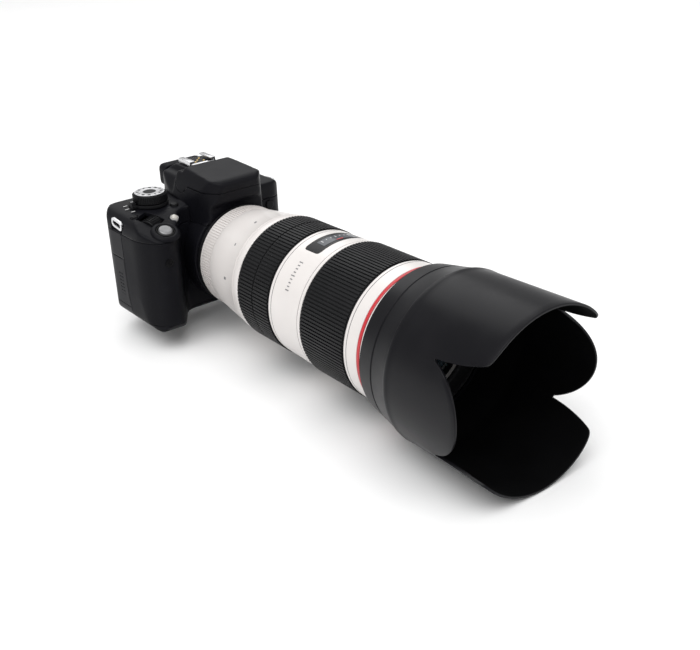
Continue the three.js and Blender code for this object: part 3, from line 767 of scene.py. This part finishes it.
class OBJECT_OT_controls(bpy.types.Operator):
    """Builds the buttons, dials, lever, hot shoe and lugs"""

    bl_idname = "object.reflex_controls"
    bl_label = "Controls"

    def execute(self, context):
        sizes = context.scene.reflex_sizes
        self.add_shutter_button()
        self.add_buttons()
        self.add_mode_dial(sizes.dial_teeth)
        self.add_lever()
        self.add_main_dial()
        self.add_hot_shoe()
        self.add_lugs()
        self.add_lamp()
        self.add_keys()
        return {"FINISHED"}

    def add_shutter_button(self):
        stations = [(0.2, -5.5), (4.75, -5.5), (4.75, 2.1), (4.6, 2.5), (4.2, 2.8), (3.4, 2.95),
                    (2.0, 2.9), (0.2, 2.85)]
        button = lathe(stations, 64, facing(shutter_place(), "platform"), ring=False)
        finish_piece(button, "shutter_cap", "button_grey", "shutter_button",
                     ["shutter_button"])

    def add_buttons(self):
        buttons = [
            ("iso_button", "top"), ("display_button", "top"),
            ("flash_button", "front"), ("lens_release_button", "front"), ("menu_button", "rear"),
            ("info_button", "rear"), ("live_view_button", "rear"), ("playback_button", "rear"),
            ("set_button", "rear"),
        ]
        for node, way in buttons:
            low, high = span(node)
            radius = (high.x - low.x) / 2
            centre = middle(node)
            length = high.z - low.z if way == "top" else high.y - low.y
            outer = {"top": (centre.x, centre.y, high.z), "front": (centre.x, low.y, centre.z),
                     "rear": (centre.x, high.y, centre.z)}[way]
            stations = [
                (0.1, -length), (radius, -length), (radius, -0.5), (radius - 0.12, -0.22),
                (radius - 0.4, -0.04), (radius - 0.8, 0), (0.1, -0.12),
            ]
            piece = lathe(stations, 40, facing(outer, way), ring=False)
            finish_piece(piece, node + "_cap", "dial_black", node, [node])

    def add_mode_dial(self, teeth):
        low, high = span("mode_dial")
        top = high.z
        centre = middle("mode_dial")
        matrix = place_at((centre.x, centre.y, 0))
        sides = teeth * 4
        rim = (high.x - low.x) / 2 - 0.43
        stations = [
            (0.2, low.z), (4, low.z), (4, top - 6.6), (rim - 0.6, top - 6.6), (rim, top - 6.1),
            (rim, top - 1.2), (rim - 0.2, top - 0.9), (rim - 1.0, top - 0.25), (rim - 1.2, top - 0.2),
            (0.2, top - 0.2),
        ]
        knob = lathe(stations, sides, matrix, ring=False)
        raise_ribs(knob, matrix, sides, 4, 2, top - 6.0, top - 1.3, rim - 0.3, 0.42)
        finish_piece(knob, "mode_dial_knob", "dial_black", "mode_dial", ["mode_dial"])
        plate = lathe([(4.6, top - 0.4), (10.4, top - 0.4), (10.4, top - 0.06), (10.1, top), (4.8, top),
                       (4.6, top - 0.06)], 96, matrix)
        finish_piece(plate, "mode_dial_plate", "silver_paint", "mode_dial")
        marks = []
        for index in range(12):
            spot = matrix @ Matrix.Rotation(math.tau * index / 12, 4, "Z")
            wide = 1.0 if index % 3 else 0.5
            marks.append(block((7.2, -wide, top - 0.1), (9.2, wide, top + 0.02), 0, spot))
        finish_piece(join_pieces(marks), "mode_dial_marks", "dial_black", "mode_dial")

    def add_lever(self):
        finish_rounded("power_lever", 0.5, "dial_black", "power_lever")
        low, high = span("power_lever")
        mark = block((low.x + 0.4, middle("power_lever").y - 0.3, high.z - 0.05),
                     (low.x + 2.4, middle("power_lever").y + 0.3, high.z + 0.04))
        finish_piece(mark, "power_lever_mark", "print_white", "power_lever")

    def add_main_dial(self):
        centre = middle("main_dial")
        turn = math.radians(28)
        matrix = (Matrix.Translation(centre * MM) @ Matrix.Rotation(turn, 4, "Z")
                  @ Matrix.Rotation(math.pi / 2, 4, "Y"))
        sides = 112
        wheel = lathe([(0.2, -5.5), (6.2, -5.5), (6.7, -4.9), (6.7, 4.9), (6.2, 5.5), (0.2, 5.5)], sides,
                      matrix, ring=False)
        raise_ribs(wheel, matrix, sides, 4, 2, -4.8, 4.8, 6.4, 0.48)
        finish_piece(wheel, "main_dial_wheel", "dial_black", "main_dial", ["main_dial"])

    def add_hot_shoe(self):
        finish_rounded("hot_shoe", 0.2, "steel", "camera_body", 30)
        low, high = span("hot_shoe")
        top = low.z + 0.9
        floor = block((low.x + 2.2, low.y + 2.5, top), (high.x - 2.2, high.y - 1, top + 0.25), 0.1)
        finish_piece(floor, "hot_shoe_insulator", "casing_smooth", "camera_body")
        contacts = []
        for across, along in ((0, 7.5), (-3.4, 4.2), (3.4, 4.2), (-3.4, 11), (3.4, 11)):
            spot = place_at((across, low.y + along, top))
            contacts.append(lathe([(0.1, 0), (0.9, 0), (0.9, 0.3), (0.7, 0.45), (0.1, 0.5)], 24, spot,
                                  ring=False))
        finish_piece(join_pieces(contacts), "hot_shoe_contacts", "gold_contact", "camera_body")

    def add_lugs(self):
        for node in ("strap_lug_grip_side", "strap_lug_far_side"):
            finish_rounded(node, 0.4, "steel", "camera_body")

    def add_lamp(self):
        matrix = facing(middle("red_eye_lamp"), "platform")
        dome = lathe([(0.1, -2.2), (2.55, -2.2), (2.55, 0.4), (2.3, 1.2), (1.7, 1.8), (0.9, 2.15),
                      (0.1, 2.25)], 48, matrix, ring=False)
        finish_piece(dome, "red_eye_dome", "lamp_dome", "camera_body", ["red_eye_lamp"], 60)
        rim = lathe([(2.6, -1), (2.95, -1), (2.95, 0.5), (2.8, 0.7), (2.6, 0.6)], 48, matrix)
        finish_piece(rim, "red_eye_rim", "silver_paint", "camera_body")

    def add_keys(self):
        finish_rounded("cross_keys", 0.4, "dial_black", "cross_keys")
        finish_rounded("diopter_dial", 0.3, "dial_black", "diopter_dial")


# ---------------------------------------------------------------- lens
class OBJECT_OT_barrels(bpy.types.Operator):
    """Turns the white barrels, the red line and the glass"""

    bl_idname = "object.reflex_barrels"
    bl_label = "Barrels"

    def execute(self, context):
        self.add_rear_barrel()
        self.add_scale_barrel()
        self.add_front_barrel()
        self.add_window()
        self.add_switches()
        self.add_marks()
        return {"FINISHED"}

    def add_rear_barrel(self):
        sides = 480
        stations = [
            (33.3, 44.7), (34.4, 44.7), (34.4, 47.5), (35.6, 47.5), (35.8, 47.7), (35.8, 48.6),
            (35.5, 48.8), (35.5, 60.2), (35.9, 60.5), (36.5, 60.8), (36.7, 61.4), (37.4, 66.4),
            (39.4, 81.0), (41.2, 95.6), (41.4, 96.0), (41.0, 96.3), (41.0, 96.7), (41.6, 97.0),
            (41.8, 97.4), (41.9, 102.7), (41.6, 103.1), (35.9, 103.1), (35.9, 61.7), (24, 61.7),
            (24, 47.3), (33.3, 47.3),
        ]
        barrel = lathe(stations, sides, LENS)
        raise_ribs(barrel, LENS, sides, 4, 2, 48.9, 60.1, 35.3, 0.7)
        finish_piece(barrel, "rear_barrel_form", "barrel_paint", "lens",
                     ["rear_barrel"], 32)
        seal = lathe([(34.45, 44.8), (36.0, 44.8), (36.1, 45.0), (36.0, 47.3), (34.45, 47.4)], 192, LENS)
        finish_piece(seal, "mount_seal", "rib_rubber", "lens", smooth=30)
        lines = [(41.65, 98.6), (42.15, 141.5), (43.06, 170.2), (43.74, 218.3)]
        rings = [
            lathe([(r - 0.3, d - 0.14), (r + 0.06, d - 0.14), (r + 0.06, d + 0.14), (r - 0.3, d + 0.14)],
                  256, LENS)
            for r, d in lines
        ]
        finish_piece(join_pieces(rings), "barrel_seams", "print_grey", "lens", smooth=30)

    def add_scale_barrel(self):
        low, high = span("distance_window")
        stations = [
            (35.9, 138.8), (41.9, 138.8), (42.1, 139.0), (42.2, 141.2), (41.9, 141.35), (41.9, 141.65),
            (42.2, 141.8), (43.0, 169.4), (42.7, 169.6), (42.7, 169.9), (43.1, 170.1), (43.2, 172.6),
            (43.0, 172.8), (35.9, 172.8),
        ]
        barrel = lathe(stations, 384, LENS)
        seat = block((low.x - 0.3, low.y - 0.3, low.z - 0.3), (high.x + 0.3, high.y + 0.3, 100), 2.5)
        cut_away(barrel, seat)
        low, high = span("switch_panel")
        seat = block((low.x - 0.3, low.y - 0.3, low.z - 0.3), (100, high.y + 0.3, high.z + 0.3))
        cut_away(barrel, seat)
        finish_piece(barrel, "scale_barrel_form", "barrel_paint", "lens",
                     ["scale_barrel"], 32)

    def add_window(self):
        low, high = span("distance_window")
        pane = lathe([(37.2, -low.y), (42.35, -low.y), (42.35, -high.y), (37.2, -high.y)], 384, LENS)
        keep = block((low.x, low.y, low.z), (high.x, high.y, 100), 2.2)
        keep_inside(pane, keep)
        finish_piece(pane, "distance_window_frame", "window_frame", "lens",
                     ["distance_window"], 30)
        inner = lathe([(42.3, -low.y - 3.4), (42.5, -low.y - 3.4), (42.5, -high.y + 3.4),
                       (42.3, -high.y + 3.4)], 384, LENS)
        keep = block((low.x + 7.5, low.y + 3, low.z), (high.x - 3.5, high.y - 3, 100), 1.0)
        keep_inside(inner, keep)
        finish_piece(inner, "distance_scale", "window_scale", "lens", smooth=30)
        ticks = []
        for step in range(7):
            spot = LENS @ Matrix.Rotation(math.radians(74 + 4.6 * step), 4, "Z")
            wide = 1.3 if step % 3 == 0 else 0.6
            ticks.append(block((42.3, -0.22, 153.2 - wide), (42.56, 0.22, 153.2 + wide), 0, spot))
        finish_piece(join_pieces(ticks), "distance_ticks", "print_white", "lens")
        spot = LENS @ Matrix.Rotation(math.radians(88), 4, "Z")
        strip = block((42.3, -2.4, 157.6), (42.56, 2.4, 158.4), 0, spot)
        finish_piece(strip, "distance_index", "red_line", "lens")

    def add_front_barrel(self):
        stations = [
            (35.9, 215.9), (43.5, 215.9), (43.7, 216.1), (43.75, 218.0), (43.45, 218.15), (43.45, 218.45),
            (43.75, 218.6), (43.8, 227.5), (42.6, 227.7), (42.6, 230.5), (43.9, 230.7), (43.9, 233.3),
            (43.6, 233.6), (43.0, 233.8), (43.0, 241.9), (42.6, 242.4), (41.4, 242.5), (41.0, 242.1),
            (40.2, 239.2), (39.6, 236.6), (39.0, 234.6), (37, 234.5), (37, 222.3), (35.9, 222.3),
        ]
        barrel = lathe(stations, 320, LENS)
        finish_piece(barrel, "front_barrel_form", "barrel_paint", "lens",
                     ["front_barrel"], 32)
        black = lathe([(36.95, 228), (37.05, 236.2), (38.9, 236.2), (39.3, 236.6), (40.9, 242.6),
                       (42.9, 242.7), (43.2, 242.2), (43.15, 234.0), (42.95, 234.0), (42.9, 241.8),
                       (41.1, 242.0), (39.4, 235.2), (37.2, 234.9), (37.2, 228)], 256, LENS)
        finish_piece(black, "filter_ring_lining", "blackened_metal", "lens", smooth=32)
        line = lathe([(42.9, 228), (43.9, 228), (44.1, 228.3), (44.1, 229.9), (43.9, 230.2),
                      (42.9, 230.2)],
                     320, LENS)
        finish_piece(line, "red_line_ring", "red_line", "lens", ["red_ring"], 30)
        dome = [(36.6 * math.sin(math.pi / 2 * k / 14), 228.2 + 7.6 * math.cos(math.pi / 2 * k / 14))
                for k in range(1, 15)]
        glass = lathe([(0.2, 235.8)] + dome + [(36.4, 227.4), (0.2, 226.2)], 128, LENS, ring=False)
        finish_piece(glass, "front_element_glass", "front_glass", "lens",
                     ["front_element"], 60)

    def add_switches(self):
        finish_rounded("switch_panel", 0.5, "casing_smooth", "lens")
        for node in ("focus_mode_switch", "stabilizer_switch"):
            finish_rounded(node, 0.4, "dial_black", node)

    def add_marks(self):
        spots = [(39.9, 86.7, 138), (40.0, 86.9, 109), (39.9, 85.6, 172)]
        marks = []
        for radius, distance, angle in spots:
            spot = LENS @ Matrix.Rotation(math.radians(angle), 4, "Z")
            marks.append(block((radius - 0.3, -0.9, distance - 1.3),
                               (radius + 0.18, 0.9, distance + 1.3), 0.1, spot))
        for step in range(9):
            spot = LENS @ Matrix.Rotation(math.radians(128 + 3.2 * step), 4, "Z")
            long = 1.7 if step % 4 == 0 else 1.0
            marks.append(block((42.3, -0.32, 155 - long), (42.72, 0.32, 155 + long), 0, spot))
        finish_piece(join_pieces(marks), "barrel_marks", "print_grey", "lens")


class OBJECT_OT_rings(bpy.types.Operator):
    """Turns the ribbed zoom and focus rings"""

    bl_idname = "object.reflex_rings"
    bl_label = "Ribbed rings"

    def execute(self, context):
        sizes = context.scene.reflex_sizes
        lift = sizes.rib_height
        self.add_ring("zoom_ring", sizes.zoom_ribs, 42.5, 42.7, (121.0,), lift)
        self.add_ring("focus_ring", sizes.focus_ribs, 43.9, 44.1, (), lift)
        return {"FINISHED"}

    def add_ring(self, node, ribs, rear, front, grooves, lift):
        low, high = span(node)
        near, far = -high.y, -low.y
        sides = ribs * 5
        base = rear - lift
        top = front - lift
        stations = [(35.9, near), (base - 0.2, near), (base, near + 0.3), (base, near + 0.9)]
        for groove in grooves:
            stations += [(base + 0.05, groove - 0.5), (base + 0.05, groove + 0.5)]
        stations += [(top, far - 0.9), (top, far - 0.3), (top - 0.2, far), (35.9, far)]
        ring = lathe(stations, sides, LENS)
        edges = [near + 0.8, *[g + s for g in grooves for s in (-0.5, 0.5)], far - 0.8]
        for start, end in zip(edges[::2], edges[1::2]):
            raise_ribs(ring, LENS, sides, 5, 3, start, end, base - 0.6, lift)
        finish_piece(ring, node + "_form", "rib_rubber", node, [node], 30)


# ---------------------------------------------------------------- hood
HOOD_FRONT = 330.0
HOOD_ROOT = 268.0
NOTCH = (31.6, 295.0)


def petal_edge(count):
    """Points (degrees, distance) along a quarter of the petal edge, evenly spaced by length.

    The first stretch is half a short side petal, the second half a long upper or lower petal.
    """
    def curve(*knots):
        return [p.to_2d() for p in interpolate_bezier(*[Vector((*k, 0)) for k in knots], 40)]

    points = curve((0, 318), (13, 318.2), (25.5, 308.5), (NOTCH[0] - 0.5, NOTCH[1]))
    points += curve((NOTCH[0] + 0.5, NOTCH[1]), (33.0, 308), (36.5, 319), (39.6, 325.2))
    points += curve((39.6, 325.2), (41.6, 328.8), (47, 329.6), (90, HOOD_FRONT))
    lengths = [0.0]
    for before, after in zip(points, points[1:]):
        across = (after.x - before.x) * math.radians(54)
        lengths.append(lengths[-1] + math.hypot(across, after.y - before.y))
    evenly = []
    index = 0
    for step in range(count + 1):
        target = lengths[-1] * step / count
        while index < len(points) - 2 and lengths[index + 1] < target:
            index += 1
        reach = lengths[index + 1] - lengths[index] or 1.0
        evenly.append(points[index].lerp(points[index + 1], min(1.0, (target - lengths[index]) / reach)))
    return evenly


class OBJECT_OT_hood(bpy.types.Operator):
    """Shapes the petal hood"""

    bl_idname = "object.reflex_hood"
    bl_label = "Petal hood"

    def execute(self, context):
        wall = context.scene.reflex_sizes.hood_wall
        outer = [(43.5, 234.5), (46.9, 234.5), (47.4, 234.9), (49.5, 246.6), (49.1, 247.0), (49.1, 247.8),
                 (49.7, 248.1), (52.3, 260.6), (52.7, 261.3), (53.0, 262.0), (53.15, 263.2),
                 (53.0, 264.4), (52.9, 265.4)]
        steps = 14
        outer += [(52.95 + 1.25 * k / steps, HOOD_ROOT + (HOOD_FRONT - 0.5 - HOOD_ROOT) * k / steps)
                  for k in range(steps + 1)]
        rim = [(54.1, HOOD_FRONT - 0.15), (53.8, HOOD_FRONT), (54.2 - wall + 0.4, HOOD_FRONT),
               (54.2 - wall + 0.1, HOOD_FRONT - 0.15)]
        inner = [(52.95 - wall + 1.25 * k / steps, HOOD_ROOT + (HOOD_FRONT - 0.5 - HOOD_ROOT) * k / steps)
                 for k in range(steps, -1, -1)]
        inner += [(51.0, 263.5), (50.6, 262.9), (47.5, 248.6), (47.2, 248.2), (45.8, 244.0),
                  (45.4, 243.4), (43.5, 243.3)]
        quarter = 96
        hood = lathe(outer + rim + inner, quarter * 4, Matrix.Identity(4))
        self.shape_petals(hood, quarter)
        settle(hood, LENS)
        piece = finish_piece(hood, "hood_form", "hood_outside", "hood", ["hood"], 35)
        piece.data.materials.append(MATERIALS["hood_inside"])
        for face in piece.data.polygons:
            centre = face.center / MM - Vector((0, 0, AXIS_HEIGHT))
            outward = face.normal.x * centre.x + face.normal.z * centre.z
            face.material_index = 1 if outward < -0.2 * math.hypot(centre.x, centre.z) else 0
        return {"FINISHED"}

    def shape_petals(self, hood, quarter):
        edge = petal_edge(quarter)
        for vertex in hood.data.vertices:
            x, y, distance = vertex.co / MM
            share = (distance - HOOD_ROOT) / (HOOD_FRONT - HOOD_ROOT)
            if share <= 0:
                continue
            radius = math.hypot(x, y)
            column = round((math.atan2(y, x) % math.tau) / math.tau * quarter * 4)
            turn, place = divmod(column, quarter)
            mirrored = turn % 2 == 1
            angle, reach = edge[quarter - place if mirrored else place]
            angle = 90 * turn + (90 - angle if mirrored else angle)
            start = 90 * column / quarter
            bearing = math.radians(start + (angle - start) * min(1.0, share))
            along = distance + share * (reach - HOOD_FRONT)
            vertex.co = Vector((radius * math.cos(bearing), radius * math.sin(bearing), along)) * MM


# ---------------------------------------------------------------- parts taken over from the frame
CARRIED = {
    "mirror_box": "blackened_metal", "body_mount_ring": "steel", "pentamirror": "mirror_silver",
    "focusing_screen": "clear_glass", "eyepiece_lens": "front_glass", "shutter_unit": "blackened_metal",
    "image_sensor": "clear_glass", "main_board": "circuit", "battery": "battery_shell",
    "tripod_socket": "steel", "reflex_mirror": "mirror_silver", "lens_mount": "steel",
    "inner_tube": "blackened_metal", "rear_element": "front_glass", "stabilizer_unit": "blackened_metal",
    "zoom_group": "front_glass", "focus_group": "front_glass",
}


class OBJECT_OT_inner_parts(bpy.types.Operator):
    """Gives the inner parts of the frame their materials"""

    bl_idname = "object.reflex_inner_parts"
    bl_label = "Inner parts"

    def execute(self, context):
        for node, material in CARRIED.items():
            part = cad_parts[node]
            part.data.materials.clear()
            part.data.materials.append(MATERIALS[material])
        return {"FINISHED"}


class VIEW3D_PT_reflex(bpy.types.Panel):
    """Lists the steps that build the camera"""

    bl_label = "Reflex camera"
    bl_space_type = "VIEW_3D"
    bl_region_type = "UI"
    bl_category = "Camera"

    def draw(self, context):
        column = self.layout.column()
        for name in ("zoom_ribs", "focus_ribs", "rib_height", "hood_wall", "dial_teeth"):
            column.prop(context.scene.reflex_sizes, name)
        for name in ("body", "barrel", "ring"):
            column.prop(context.scene.reflex_colours, name)
        for operator in OPERATORS:
            column.operator(operator.bl_idname)


OPERATORS = (
    SCENE_OT_studio, OBJECT_OT_casing, OBJECT_OT_body_details, OBJECT_OT_controls, OBJECT_OT_barrels,
    OBJECT_OT_rings, OBJECT_OT_hood, OBJECT_OT_inner_parts,
)
CLASSES = (CameraColours, CameraSizes, *OPERATORS, VIEW3D_PT_reflex)


def register():
    for each in CLASSES:
        bpy.utils.register_class(each)
    bpy.types.Scene.reflex_colours = PointerProperty(type=CameraColours)
    bpy.types.Scene.reflex_sizes = PointerProperty(type=CameraSizes)


def unregister():
    del bpy.types.Scene.reflex_sizes
    del bpy.types.Scene.reflex_colours
    for each in reversed(CLASSES):
        bpy.utils.unregister_class(each)


def main():
    register()
    make_materials(bpy.context.scene.reflex_colours)
    bpy.ops.scene.reflex_studio()
    bpy.ops.object.reflex_casing()
    bpy.ops.object.reflex_body_details()
    bpy.ops.object.reflex_controls()
    bpy.ops.object.reflex_barrels()
    bpy.ops.object.reflex_rings()
    bpy.ops.object.reflex_hood()
    bpy.ops.object.reflex_inner_parts()
    clear_selection()


if __name__ == "__main__":
    main()
